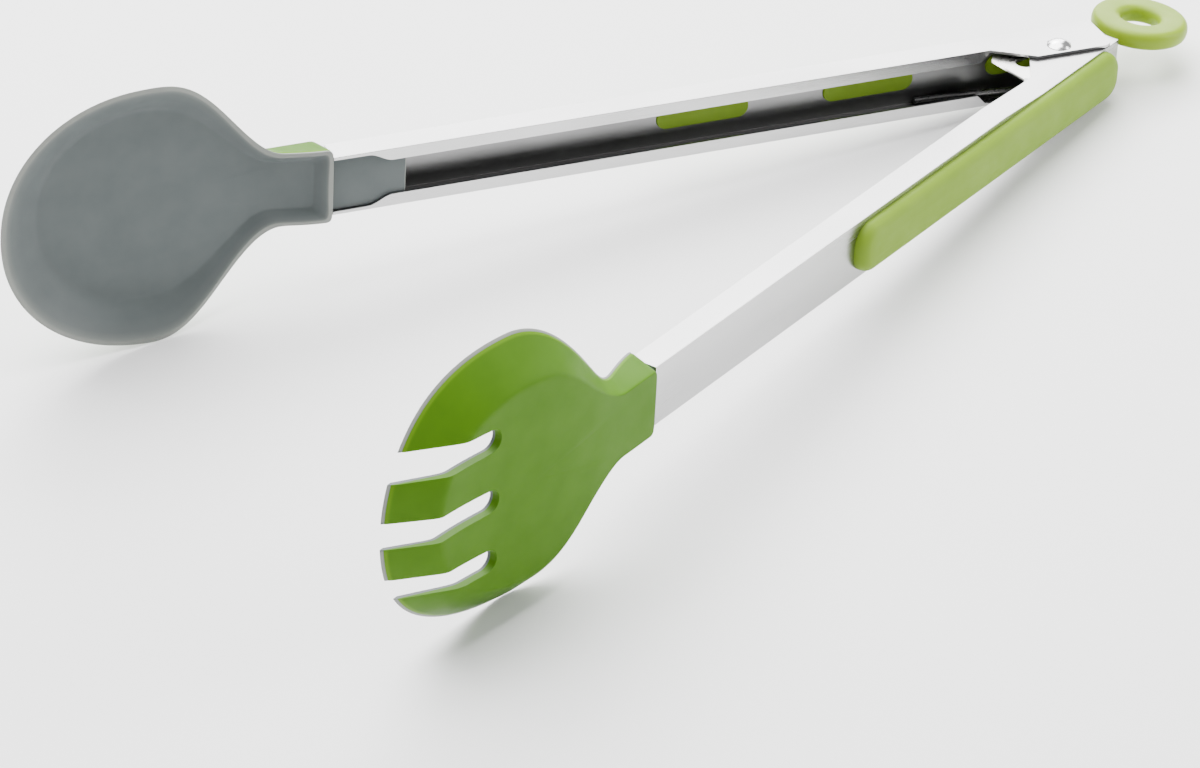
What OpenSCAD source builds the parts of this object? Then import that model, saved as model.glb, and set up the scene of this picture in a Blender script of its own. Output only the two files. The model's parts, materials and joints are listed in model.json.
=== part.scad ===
// Spring loaded kitchen tongs: two lipped steel channels on one rivet, a torsion spring
// that opens them, a sliding lock plate with a hanging ring, and two-shot heads and grips.
// Each arm is drawn along its own axes: X runs from the rivet to the head, Y outward to the
// channel's web, and Z along the rivet. The tongs then lie on a table, resting on both heads
// and on the end of the channels.

/* [Steel channels] */
// Height of a channel over its two flanges
arm_h = 17.5; // [16.5:0.5:19]
// Depth of a channel from its lips to its web
arm_d = 7.7; // [7.2:0.1:8.4]
// Thickness of the steel sheet
sheet = 0.8; // [0.7:0.05:0.9]
// Steel length in front of the rivet
arm_len = 215; // [205:1:225]
// Steel length behind the rivet
tail_len = 15; // [14:0.5:16]
// Outer face of the lips, from the rivet's centre line
lip_plane = 2.9; // [2.5:0.1:3.3]
// Height of a lip
lip_h = 3.5; // [3:0.1:4]
// Angle between the open arms
open_angle = 32; // [26:1:34]

/* [Rivet, spring and lock] */
// Diameter of the rivet's shank
rivet_d = 5; // [4.5:0.1:5.2]
// Diameter of the rivet's heads
rivet_head_d = 7; // [6.6:0.1:7.6]
// Radial clearance of the rivet in the ears
rivet_fit = 0.05; // [0.03:0.01:0.1]
// Diameter of the spring wire
wire_d = 1.8; // [1.4:0.1:2]
// Full turns of the spring
spring_turns = 3; // [2:1:4]
// Travel of the lock plate
lock_travel = 13; // [10:0.5:13]
// Half width of the lock plate's wide end
lock_half_w = 8.8; // [8:0.1:8.8]
// Outer diameter of the hanging ring
ring_od = 27.5; // [25:0.5:29]
// Hole of the hanging ring
ring_hole_d = 10.8; // [10:0.2:13]
// Thickness of the hanging ring
ring_t = 5.4; // [4.5:0.1:6]

/* [Grips] */
// Length of a grip pad
grip_len = 134; // [126:1:140]
// Height of a grip pad across the web
grip_h = 14.4; // [14:0.2:16]
// How far a grip stands proud of the web
grip_proud = 4; // [3:0.2:5]

/* [Heads] */
// Half width of a head
head_half_w = 38.4; // [34:0.1:39]
// Distance from the rivet to the head's widest line
head_mid = 266.5; // [262:0.1:272]
// Reach of the spoon's tip past the widest line
spoon_reach = 41; // [38:0.1:42]
// Reach of the fork's tip past the widest line
fork_reach = 43; // [39:0.5:44]
// Wall thickness of a head's inner plastic
core_t = 0.8; // [0.7:0.1:1.2]
// Wall thickness of a head's outer plastic
skin_t = 2; // [1.6:0.1:2.2]
// Depth of the dish at the bowl
dish_depth = 7; // [5:0.2:7.6]
// How far the fork's tines bend in towards the spoon
fork_bend = 7; // [4:0.5:8]
// Distance between the fork's slots
slot_pitch = 17.3; // [16:0.1:18]
// Half width of a slot at its root
slot_root_r = 3.3; // [2.8:0.1:3.6]

/* [Hidden] */
$fn = 96;
half_open = open_angle / 2;
half_h = arm_h / 2;
web_face = lip_plane + arm_d;
web_inner = web_face - sheet;

// The fork arm's ears sit inside the spoon arm's, so its channel narrows near the rivet
nest_gap = 0.15;
nest = sheet + nest_gap;
joggle_start = 26;
joggle_end = 46;

// Ears: the flanges reach past the rivet, and the lips start behind them
ear_front = 4.4;
ear_knee = 8.8;
ear_round = 3;
nested_ear_round = 5.8;
lip_start = 19.8;
lip_cut = 2.9;
lip_trim_end = arm_len - 17;
lip_trim_run = 7;
lip_left = 1;
lip_steps = 8;
margin = 1;

// Windows in the web that hold the grips' plugs
window_len = 27.8;
window_pitch = 50.4;
window_r = 3.3;
window_first = 104.4;
window_count = 3;
plug_fit = 0.1;
plug_inside = 0.5;

// Rivet
head_rise = 1.5;
rivet_span = half_h;

// Spring
coil_r = 3.7;
coil_z0 = -5.9;
coil_gap = 0.12;
coil_pitch = wire_d + coil_gap;
spoon_leg_len = 39.6;
spoon_leg_z = -6.85;
fork_leg_len = 33;
leg_web_gap = 0.15;
coil_steps = 16;
leg_steps = 6;
wire_sides = 8;

// Lock plate
plate_t = 1;
plate_z = 5.9;
plate_front = 19.2;
plate_corner_x = 17;
plate_corner_y = 6.6;
plate_shoulder = 0.8;
neck_half_w = 4.4;
slot_clear = 0.1;
ring_x = 31.5;
ring_land = 1.6;
ring_wall = 1.6;
ring_raise = 0.7;
tongue_bend_x = 20.5;
tongue_droop = 5;
tongue_len = ring_x - tongue_bend_x - ring_hole_d / 2 - ring_wall;

// Grips
grip_start = -12;
grip_corner_r = 6;
grip_edge_r = 3.2;
grip_gap = 0.02;
grip_sides = 32;

// Heads
collar_half_w = 10.9;
collar_gap = 0.12;
collar_start = arm_len + collar_gap;
floor_v = 9.6;
wall_t = core_t + skin_t;
back_v = floor_v + wall_t;
rim_collar = lip_plane;
rim_neck = 7;
rim_bowl = floor_v - dish_depth;
rim_w = 1.3;
rim_share = 0.5;
neck_from = 228.6;
neck_to = 266;
neck_fullness = 2.2;
floor_from = 231;
floor_to = 266;
floor_half_w = head_half_w - 10.7;
floor_reach_cut = 12.5;
trough_half_w = 7;
wall_slope = 37;
end_wall = 4.5;
trough_v = 6.2;
fill_start = 218;
fill_end = 238;
skin_rim_t = 0.9;
rim_t = core_t + skin_rim_t;
neck_u = 240;
bend_start = 240;
bend_end = 300;
square_start = 226;
square_end = 244;
tang_len = 21;
tang_past = 1;
tang_fit = 0.1;
tang_face = lip_plane + sheet + tang_fit;
slot_root_u = 280.5;
slot_tip_half = 4;
slot_end_u = 330;
neck_steps = 22;
tip_steps = 30;
tip_power = 2.1;
floor_marks = [0.45, 0.7, 0.82, 0.91];
end_steps = 5;
wall_marks = [0, 0.08, 0.2, 0.5, 1];
wall_foot = 0.2;
foot_rise = 1 / (wall_foot * (2 - wall_foot));
joint_square = 0.3;
back_square = 0.6;

// Resting tilt: the heads' lower edges and the channels' ends touch the table together
tail_reach = tail_len * cos(half_open) + web_face * sin(half_open);
head_span = head_mid * cos(half_open) - rim_bowl * sin(half_open) + tail_reach;
tilt = asin((head_half_w - half_h * cos(asin((head_half_w - half_h) / head_span))) / head_span);
lift = tail_reach * sin(tilt) + half_h * cos(tilt);

// Place of the rivet that puts the middle of the open tongs over the frame's origin
fork_tip_v = rim_bowl - fork_bend;
reach_back = (head_mid + fork_reach) * cos(half_open) - fork_tip_v * sin(half_open);
reach_front = ring_x + ring_od / 2;
shift_x = (reach_back - reach_front) * cos(tilt) / 2;
side_gain = (spoon_reach - fork_reach) * sin(half_open)
    + bend(head_mid + fork_reach - floor_reach_cut, fork_bend) * cos(half_open);
shift_y = -side_gain / 2;

function smooth(t) = let (c = max(0, min(1, t))) c * c * (3 - 2 * c);
function mix(a, b, t) = a + (b - a) * t;
// Height up a dish's wall: it curves up from the floor over its foot, then runs straight
function dish_wall(t) =
    t < wall_foot ? foot_rise * t * t : 1 - 2 * foot_rise * wall_foot * (1 - t);

steel = "Gainsboro";
green = "YellowGreen";
grey = "SlateGray";

module lay() {
    translate([shift_x, shift_y, lift])
        rotate([0, tilt, 0])
            children();
}

module spoon_side() {
    lay()
        rotate([0, 0, -half_open])
            mirror([1, 0, 0])
                children();
}

module fork_side() {
    lay()
        rotate([0, 0, 180 + half_open])
            children();
}

// A shape drawn in X and Z, given its thickness between two distances from the rivet
module side_slab(y0, y1) {
    translate([0, y1, 0])
        rotate([90, 0, 0])
            linear_extrude(height = y1 - y0)
                children();
}

// Height of a channel seen from the side, less an inset; the ends run past by the same inset
module side_shape(narrowing, inset) {
    near = half_h - narrowing - inset;
    far = half_h - inset;
    tail = -tail_len - inset;
    head = arm_len + inset;
    polygon([
        [tail, -near], [joggle_start, -near], [joggle_end, -far], [head, -far],
        [head, far], [joggle_end, far], [joggle_start, near], [tail, near]
    ]);
}

// One lip on the upper side, full height along the handle and trimmed beside the tang
module lip_shape(narrowing) {
    trim = [for (i = [0:lip_steps]) let (t = i / lip_steps)
            [lip_trim_end + lip_trim_run * t, half_h - mix(lip_h, lip_left, smooth(t))]];
    polygon(concat(
        [[lip_start, half_h - narrowing - sheet / 2],
         [lip_start + lip_cut, half_h - narrowing - lip_h],
         [joggle_start + margin, half_h - narrowing - lip_h],
         [joggle_end, half_h - lip_h]],
        trim,
        [[arm_len, half_h - lip_left], [arm_len, half_h - sheet / 2],
         [joggle_end, half_h - sheet / 2], [joggle_start, half_h - narrowing - sheet / 2]]
    ));
}

// Flange seen along the rivet, with the ear that carries the rivet and its round rear corner
module flange_shape(rear_round) {
    difference() {
        polygon([
            [-tail_len, web_face], [arm_len, web_face], [arm_len, lip_plane],
            [lip_start, lip_plane], [ear_knee, -ear_front], [-tail_len, -ear_front]
        ]);
        translate([-tail_len - margin, -ear_front - margin])
            difference() {
                square(rear_round + margin);
                translate([rear_round + margin, rear_round + margin])
                    circle(rear_round);
            }
    }
}

module window_shape(grow) {
    for (i = [0:window_count - 1])
        translate([window_first - i * window_pitch, 0]) {
            square([window_len - 2 * window_r, 2 * (window_r + grow)], center = true);
            for (side = [-1, 1])
                translate([side * (window_len / 2 - window_r), 0])
                    circle(window_r + grow);
        }
}

module channel(narrowing, rear_round) {
    difference() {
        union() {
            difference() {
                side_slab(-ear_front, web_face)
                    side_shape(narrowing, 0);
                side_slab(-ear_front - margin, web_inner)
                    side_shape(narrowing, sheet);
                for (side = [0, 1])
                    mirror([0, 0, side])
                        translate([0, 0, -margin])
                            linear_extrude(height = half_h + 2 * margin)
                                difference() {
                                    translate([-tail_len - margin, -ear_front - margin])
                                        square([arm_len + tail_len + 2 * margin,
                                                web_face + ear_front + 2 * margin]);
                                    flange_shape(rear_round);
                                }
            }
            for (side = [0, 1])
                mirror([0, 0, side])
                    side_slab(lip_plane, lip_plane + sheet)
                        lip_shape(narrowing);
        }
        cylinder(d = rivet_d + 2 * rivet_fit, h = 2 * arm_h, center = true);
        side_slab(web_inner - margin, web_face + margin)
            window_shape(0);
    }
}

module spoon_arm_channel() {
    color(steel) spoon_side() channel(0, ear_round);
}

module fork_arm_channel() {
    color(steel) fork_side() channel(nest, nested_ear_round);
}

// Half width at a distance from the rivet, swelling from the collar to the widest line. The
// fullness makes the swell turn tightly at the neck and gently at the widest line.
function neck_half(u, half_w, from, to, collar) =
    let (t = max(0, min(1, (u - from) / (to - from))))
    mix(collar, half_w, smooth(t) + neck_fullness * t * t * (1 - t) * (1 - t));

// A tip a little fuller than an ellipse
function fuller(share) = sign(share) * pow(abs(share), 2 / tip_power);

// Closed curve around a head: up the spine side, round the tip, back, and across the collar
function head_curve(start, half_w, from, to, tip, collar) =
    let (side = [for (i = [0:neck_steps]) let (u = mix(start, head_mid, i / neck_steps))
                 [u, neck_half(u, half_w, from, to, collar)]],
         wide = side[neck_steps][1],
         nose = [for (i = [1:tip_steps - 1]) let (t = 90 - 180 * i / tip_steps)
                 [head_mid + tip * fuller(cos(t)), wide * fuller(sin(t))]],
         back = [for (i = [0:neck_steps]) let (p = side[neck_steps - i]) [p[0], -p[1]]],
         end_w = side[0][1],
         across = [for (i = [1:end_steps - 1]) [start, mix(-end_w, end_w, i / end_steps)]])
    concat(side, nose, back, across);

function rim_height(u) =
    u < neck_u
    ? mix(rim_collar, rim_neck, smooth((u - collar_start) / (neck_u - collar_start)))
    : mix(rim_neck, rim_bowl, smooth((u - neck_u) / (head_mid - neck_u)));

// How far the inner floor rises towards the collar, where the trough runs out
function trough_fill(u) =
    (floor_v - trough_v) * (1 - smooth((u - fill_start) / (fill_end - fill_start)));

function bend(u, amount) = amount * smooth((u - bend_start) / (bend_end - bend_start));

// One ring of a dish surface, a fraction of the way from its floor curve to its outline
function dish_ring(inner, outer, frac, floor_h, rim_add, amount, fill = 0) =
    [for (i = [0:len(outer) - 1])
        let (p = mix(inner[i], outer[i], frac), rim = rim_height(outer[i][0]) + rim_add,
             bottom = floor_h - fill * trough_fill(p[0]))
        [p[0], mix(bottom, rim, dish_wall(frac)) - bend(p[0], amount), p[1]]];

// A ring inside the floor, a fraction of the way from the middle to the floor's edge
function floor_ring(line, frac, amount) =
    [for (p = line) let (q = mix([head_mid, 0], p, frac))
     [q[0], floor_v - trough_fill(q[0]) - bend(q[0], amount), q[1]]];

function dish_centre(height, amount) = [head_mid, height - bend(head_mid, amount), 0];

// A closed shell through a list of rings, fanned to a point at each end. Each quad is split on its
// shorter diagonal, so two shells that share a ring meet without gaps.
module ring_solid(rings, first, last) {
    n = len(rings[0]);
    m = len(rings);
    points = concat([first], [for (r = rings) each r], [last]);
    fan_a = [for (i = [0:n - 1]) [0, 1 + i, 1 + (i + 1) % n]];
    wall = [for (k = [0:m - 2], i = [0:n - 1])
            let (a = 1 + k * n + i, b = 1 + k * n + (i + 1) % n,
                 short = norm(points[a + n] - points[b]) < norm(points[a] - points[b + n]))
            each short ? [[a, a + n, b], [b, a + n, b + n]] : [[a, a + n, b + n], [a, b + n, b]]];
    fan_b = [for (i = [0:n - 1])
             [1 + m * n, 1 + (m - 1) * n + (i + 1) % n, 1 + (m - 1) * n + i]];
    polyhedron(points = points, faces = concat(fan_a, wall, fan_b));
}

function outline(reach) =
    head_curve(collar_start, head_half_w, neck_from, neck_to, reach, collar_half_w);
function floor_line(reach) =
    head_curve(collar_start + end_wall, floor_half_w, floor_from, floor_to,
               reach - floor_reach_cut, trough_half_w);

// 0 where the collar is square, 1 where the bowl's wall is sloped
function bowl_share(u) = smooth((u - square_start) / (square_end - square_start));

function toward_outline(reach, square_share) =
    let (f = floor_line(reach), o = outline(reach))
    [for (i = [0:len(o) - 1]) mix(f[i], o[i], square_share * (1 - bowl_share(o[i][0])))];

// The outline at a depth in the wall, where the edge is cut square to the slope
function edge_line(reach, depth) =
    let (f = floor_line(reach), o = outline(reach))
    [for (i = [0:len(o) - 1])
        let (way = (f[i] - o[i]) / norm(f[i] - o[i]))
        o[i] + way * depth * sin(wall_slope) * bowl_share(o[i][0])];

function rim_line(reach) =
    let (f = floor_line(reach), o = outline(reach))
    [for (i = [0:len(o) - 1])
        let (run = norm(o[i] - f[i])) mix(o[i], f[i], min(rim_share, rim_w / run))];

function inner_rings(reach, amount) = concat(
    [for (t = floor_marks) floor_ring(floor_line(reach), t, amount)],
    [for (t = wall_marks)
        dish_ring(floor_line(reach), rim_line(reach), t, floor_v, 0, amount, 1)]);
function joint_rings(reach, amount) =
    [for (t = wall_marks) dish_ring(toward_outline(reach, joint_square), edge_line(reach, core_t), t,
                                    floor_v + core_t, core_t * cos(wall_slope), amount)];
function back_rings(reach, amount) =
    [for (t = wall_marks) dish_ring(toward_outline(reach, back_square), edge_line(reach, rim_t), t,
                                    back_v, rim_t * cos(wall_slope), amount)];
function reversed(list) = [for (i = [len(list) - 1:-1:0]) list[i]];

module core_dish(reach, amount) {
    rim = dish_ring(floor_line(reach), outline(reach), 1, floor_v, 0, amount);
    ring_solid(concat(inner_rings(reach, amount), [rim], reversed(joint_rings(reach, amount))),
               dish_centre(floor_v, amount), dish_centre(floor_v + core_t, amount));
}

module skin_dish(reach, amount) {
    ring_solid(concat(joint_rings(reach, amount), reversed(back_rings(reach, amount))),
               dish_centre(floor_v + core_t, amount), dish_centre(back_v, amount));
}

// The tang that fills the channel's end; it passes through the skin at the collar
module tang() {
    translate([arm_len - tang_len, tang_face, -half_h + sheet + tang_fit])
        cube([tang_len + tang_past, web_inner - tang_fit - tang_face,
              arm_h - 2 * sheet - 2 * tang_fit]);
}

module fork_slots() {
    for (i = [-1, 0, 1])
        translate([0, -arm_h, i * slot_pitch])
            rotate([-90, 0, 0])
                linear_extrude(height = 3 * arm_h) {
                    translate([slot_root_u, 0])
                        circle(slot_root_r);
                    polygon([
                        [slot_root_u, -slot_root_r], [slot_end_u, -slot_tip_half],
                        [slot_end_u, slot_tip_half], [slot_root_u, slot_root_r]
                    ]);
                }
}

module spoon_head_core() {
    color(grey) spoon_side() union() {
        core_dish(spoon_reach, 0);
        tang();
    }
}

module spoon_head_skin() {
    color(green) spoon_side() difference() {
        skin_dish(spoon_reach, 0);
        tang();
    }
}

module fork_head_core() {
    color(grey) fork_side() difference() {
        union() {
            core_dish(fork_reach, fork_bend);
            tang();
        }
        fork_slots();
    }
}

module fork_head_skin() {
    color(green) fork_side() difference() {
        skin_dish(fork_reach, fork_bend);
        tang();
        fork_slots();
    }
}

// A pad with round corners and a soft edge on the web, and one plug for each window
module grip() {
    half = grip_h / 2;
    base_v = web_face + grip_gap;
    hull() {
        for (u = [grip_start + grip_corner_r, grip_start + grip_len - grip_corner_r],
             w = [-1, 1] * (half - grip_corner_r))
            translate([u, base_v, w])
                rotate([-90, 0, 0])
                    cylinder(r = grip_corner_r, h = grip_proud - grip_edge_r, $fn = grip_sides);
        for (u = [grip_start + grip_corner_r, grip_start + grip_len - grip_corner_r],
             w = [-1, 1] * (half - grip_corner_r))
            translate([u, base_v + grip_proud - grip_edge_r / 2, w])
                rotate([-90, 0, 0])
                    cylinder(r = grip_corner_r - grip_edge_r, h = grip_edge_r / 2, $fn = grip_sides);
    }
    side_slab(web_inner - plug_inside, base_v + sheet)
        window_shape(-plug_fit);
}

module spoon_grip() {
    color(green) spoon_side() grip();
}

module fork_grip() {
    color(green) fork_side() grip();
}

module rivet_head() {
    dome_r = (pow(rivet_head_d / 2, 2) + pow(head_rise, 2)) / (2 * head_rise);
    translate([0, 0, rivet_span])
        rotate_extrude()
            intersection() {
                translate([0, head_rise - dome_r])
                    circle(dome_r);
                square([rivet_head_d, head_rise]);
            }
}

module hinge_rivet() {
    color("Silver") lay() {
        cylinder(d = rivet_d, h = 2 * rivet_span, center = true);
        for (side = [0, 1])
            mirror([0, 0, side])
                rivet_head();
    }
}

// Centre line of the spring: a leg in the spoon arm, the coil, and a leg in the fork arm
leg_v = web_inner - wire_d / 2 - leg_web_gap;
coil_turn = 180 - 2 * half_open + 360 * spring_turns;
coil_z1 = coil_z0 + coil_pitch * coil_turn / 360;
coil_count = ceil(coil_turn / 360 * coil_steps);
function spoon_point(u, v, z) =
    [-u * cos(half_open) + v * sin(half_open), u * sin(half_open) + v * cos(half_open), z];
function fork_point(u, v, z) =
    [-u * cos(half_open) + v * sin(half_open), -u * sin(half_open) - v * cos(half_open), z];
spring_path = concat(
    [for (i = [0:leg_steps - 1]) let (t = i / leg_steps)
     spoon_point(spoon_leg_len * (1 - t), mix(leg_v, coil_r, smooth(t)),
                 mix(spoon_leg_z, coil_z0, smooth(t)))],
    [for (i = [0:coil_count]) let (t = i / coil_count, a = 90 - half_open - coil_turn * t)
     [coil_r * cos(a), coil_r * sin(a), mix(coil_z0, coil_z1, t)]],
    [for (i = [1:leg_steps]) let (t = i / leg_steps)
     fork_point(fork_leg_len * t, mix(coil_r, leg_v, smooth(t)), coil_z1)]);

// Rings of wire around a path, each square to the path
module swept_wire(path, radius, sides) {
    n = len(path);
    rings = [for (i = [0:n - 1])
        let (ahead = path[min(n - 1, i + 1)] - path[max(0, i - 1)],
             t = ahead / norm(ahead),
             s0 = cross([0, 0, 1], t), s = s0 / norm(s0), up = cross(t, s))
        [for (k = [0:sides - 1]) let (a = 360 * k / sides)
         path[i] + radius * (cos(a) * s + sin(a) * up)]];
    ring_solid(reversed(rings), path[n - 1], path[0]);
}

module torsion_spring() {
    color("DimGray") lay() swept_wire(spring_path, wire_d / 2, wire_sides);
}

// Clear way for the rivet along the lock's travel
module lock_slot() {
    width = rivet_d + 2 * slot_clear;
    for (x = [0, -lock_travel])
        translate([x, 0])
            circle(d = width);
    translate([-lock_travel, -width / 2])
        square([lock_travel, width]);
}

// The plate from above: a wide end in front of the rivet and a neck that leads out to the ring
module plate_shape() {
    difference() {
        union() {
            polygon([
                [-plate_front, -plate_corner_y], [-plate_corner_x, -lock_half_w],
                [-plate_shoulder, -lock_half_w], [-plate_shoulder, lock_half_w],
                [-plate_corner_x, lock_half_w], [-plate_front, plate_corner_y]
            ]);
            translate([-plate_shoulder - margin, -neck_half_w])
                square([tongue_bend_x + plate_shoulder + margin, 2 * neck_half_w]);
        }
        lock_slot();
    }
}

// The neck's end and the ring lie in a plane that droops a little
module drooped() {
    translate([tongue_bend_x, 0, plate_z + plate_t / 2])
        rotate([0, tongue_droop, 0])
            children();
}

module plate_solid() {
    translate([0, 0, plate_z])
        linear_extrude(height = plate_t)
            plate_shape();
    drooped()
        translate([0, -neck_half_w, -plate_t / 2])
            cube([tongue_len, 2 * neck_half_w, plate_t]);
}

module lock_plate() {
    color(steel) lay() union() plate_solid();
}

// The ring's round section, flattened on top and below, with a short land in the hole
module ring_section() {
    tube_r = (ring_od - ring_hole_d) / 4;
    intersection() {
        translate([(ring_od + ring_hole_d) / 4, 0])
            union() {
                circle(r = tube_r);
                translate([-tube_r, -ring_land / 2])
                    square([tube_r, ring_land]);
            }
        translate([0, -ring_t / 2])
            square([ring_od, ring_t]);
    }
}

module pull_ring() {
    color(green) lay() difference() {
        drooped()
            translate([ring_x - tongue_bend_x, 0, ring_raise])
                rotate_extrude()
                    ring_section();
        plate_solid();
    }
}

spoon_arm_channel();
fork_arm_channel();
spoon_head_core();
spoon_head_skin();
fork_head_core();
fork_head_skin();
spoon_grip();
fork_grip();
hinge_rivet();
torsion_spring();
lock_plate();
pull_ring();
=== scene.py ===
"""Looks of a pair of spring loaded kitchen tongs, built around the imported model."""

import json
import logging
import math
from dataclasses import dataclass
from enum import Enum
from typing import Sequence

import bmesh
import bpy
from mathutils import Matrix, Vector


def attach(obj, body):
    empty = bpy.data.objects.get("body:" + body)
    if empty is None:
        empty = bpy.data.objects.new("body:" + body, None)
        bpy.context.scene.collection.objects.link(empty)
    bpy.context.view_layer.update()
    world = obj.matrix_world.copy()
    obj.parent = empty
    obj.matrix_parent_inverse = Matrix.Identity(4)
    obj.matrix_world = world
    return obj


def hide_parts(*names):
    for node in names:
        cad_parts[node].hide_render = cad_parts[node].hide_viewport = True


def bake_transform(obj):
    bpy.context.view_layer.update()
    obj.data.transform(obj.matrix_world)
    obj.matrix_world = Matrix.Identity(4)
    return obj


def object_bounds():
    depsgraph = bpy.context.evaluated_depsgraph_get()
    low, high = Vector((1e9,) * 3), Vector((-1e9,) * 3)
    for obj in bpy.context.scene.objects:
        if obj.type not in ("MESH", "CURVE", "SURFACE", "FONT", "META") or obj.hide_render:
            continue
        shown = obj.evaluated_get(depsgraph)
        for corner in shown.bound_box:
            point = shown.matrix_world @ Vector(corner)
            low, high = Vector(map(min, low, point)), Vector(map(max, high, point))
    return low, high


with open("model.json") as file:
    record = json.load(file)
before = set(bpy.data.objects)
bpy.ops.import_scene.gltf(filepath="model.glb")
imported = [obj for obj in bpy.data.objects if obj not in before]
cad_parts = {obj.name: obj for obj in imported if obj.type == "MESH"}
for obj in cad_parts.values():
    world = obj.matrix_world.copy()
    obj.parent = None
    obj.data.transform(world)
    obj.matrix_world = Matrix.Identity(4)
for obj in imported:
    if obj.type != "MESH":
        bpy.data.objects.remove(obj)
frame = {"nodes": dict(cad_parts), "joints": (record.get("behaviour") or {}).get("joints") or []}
CAD_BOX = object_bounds()

MM = 0.001
HALF_OPEN = math.radians(16.0)
PLACE = "place_mm"
# Name of the vertex share that paints a highlight onto the thin rims and edges of the mouldings
EDGE_HIGHLIGHT_LAYER = "painted_edge_highlight"
# Noise's middle band, which holds nearly all of its values
NOISE_BAND = (0.3, 0.7)
# Points nearer than this, in millimetres, are one
WELD = 1e-4
log = logging.getLogger("tongs")


class Side(Enum):
    """The two arms, by the sign of their side of the tongs."""

    SPOON = 1.0
    FORK = -1.0


# ---------------------------------------------------------------- frames


def joint(name: str) -> dict:
    """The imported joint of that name."""
    return next(j for j in frame["joints"] if j["name"] == name)


def hinge_frame() -> Matrix:
    """Matrix from hinge millimetres to the row frame.

    Returns:
        X runs out to the hanging ring, Y to the spoon's side, Z up the rivet.
    """
    up = -Vector(joint("arm_hinge")["axis"])
    out = Vector(joint("lock_slide")["axis"])
    across = up.cross(out)
    turn = Matrix((out, across, up)).transposed().to_4x4()
    return Matrix.Translation(joint("arm_hinge")["pos_m"]) @ turn @ Matrix.Scale(MM, 4)


def arm_frame(side: Side) -> Matrix:
    """Matrix from an arm's own millimetres to the row frame.

    Args:
        side: Which arm.

    Returns:
        U runs from the rivet to the head, V outward to the web, W up the rivet.
    """
    c, s = math.cos(HALF_OPEN), math.sin(HALF_OPEN) * side.value
    axes = Matrix(((-c, math.sin(HALF_OPEN), 0), (s, c * side.value, 0), (0, 0, 1)))
    return hinge_frame() @ axes.to_4x4()


def mix(a: float, b: float, t: float) -> float:
    """The value a share t of the way from a to b."""
    return a + (b - a) * t


def smooth(t: float) -> float:
    """A share that starts and stops softly."""
    c = max(0.0, min(1.0, t))
    return c * c * (3 - 2 * c)


# ---------------------------------------------------------------- finishes


def linear(code: str) -> tuple[float, float, float, float]:
    """An sRGB hex colour as linear red, green, blue and alpha.

    Args:
        code: Six hex digits, with or without the leading hash.

    Returns:
        The four shares.
    """
    parts = [int(code.lstrip("#")[i : i + 2], 16) / 255 for i in (0, 2, 4)]
    low = [p / 12.92 if p <= 0.04045 else ((p + 0.055) / 1.055) ** 2.4 for p in parts]
    return (*low, 1.0)


def add(tree: bpy.types.NodeTree, kind: str, inputs: dict | None = None, **settings) -> bpy.types.Node:
    """Adds a node with its settings, values and links.

    Args:
        tree: The material's node tree.
        kind: The node's type name.
        inputs: Input name or number to a value, or to the socket that feeds it.
        **settings: The node's own properties.

    Returns:
        The new node.
    """
    node = tree.nodes.new(kind)
    for key, value in settings.items():
        setattr(node, key, value)
    for key, value in (inputs or {}).items():
        if isinstance(value, bpy.types.NodeSocket):
            tree.links.new(value, node.inputs[key])
        else:
            node.inputs[key].default_value = value
    return node


def start_material(name: str) -> tuple[bpy.types.Material, bpy.types.NodeTree, bpy.types.Node]:
    """A new node material with only its shader and output.

    Args:
        name: The material's name.

    Returns:
        The material, its node tree and its shader.
    """
    material = bpy.data.materials.new(name)
    material.use_nodes = True
    tree = material.node_tree
    tree.nodes.clear()
    shader = add(tree, "ShaderNodeBsdfPrincipled")
    add(tree, "ShaderNodeOutputMaterial", {"Surface": shader.outputs["BSDF"]})
    return material, tree, shader


def stretched_noise(tree: bpy.types.NodeTree, size_mm: Sequence[float], detail: float) -> bpy.types.Node:
    """Noise on the piece's own millimetres, stretched to a size along each axis.

    Args:
        tree: The material's node tree.
        size_mm: Size of one grain along U, V and W.
        detail: Octaves of finer noise.

    Returns:
        The noise node.
    """
    place = add(tree, "ShaderNodeAttribute", attribute_name=PLACE)
    scale = tuple(1 / s for s in size_mm)
    grid = add(tree, "ShaderNodeMapping", {"Vector": place.outputs["Vector"], "Scale": scale})
    return add(tree, "ShaderNodeTexNoise", {"Vector": grid.outputs["Vector"], "Scale": 1.0, "Detail": detail})


def ranged(
    tree: bpy.types.NodeTree,
    source: bpy.types.NodeSocket,
    low: float,
    high: float,
    band: tuple[float, float] = NOISE_BAND,
) -> bpy.types.NodeSocket:
    """A band of a value stretched to a range.

    Args:
        tree: The material's node tree.
        source: The value.
        low: What the band's lower end becomes.
        high: What the band's upper end becomes.
        band: The band of the value that is used.

    Returns:
        The stretched value's socket.
    """
    node = add(tree, "ShaderNodeMapRange", {"Value": source, 1: band[0], 2: band[1], 3: low, 4: high})
    return node.outputs[0]


def tinted(
    tree: bpy.types.NodeTree, share: bpy.types.NodeSocket, first: object, second: object
) -> bpy.types.NodeSocket:
    """Two colours mixed by a share.

    Args:
        tree: The material's node tree.
        share: How much of the second colour shows.
        first: A colour, or the socket that gives it.
        second: A colour, or the socket that gives it.

    Returns:
        The mixed colour's socket.
    """
    inputs = {"Factor": share, 6: first, 7: second}
    return add(tree, "ShaderNodeMix", inputs, data_type="RGBA").outputs[2]


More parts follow.
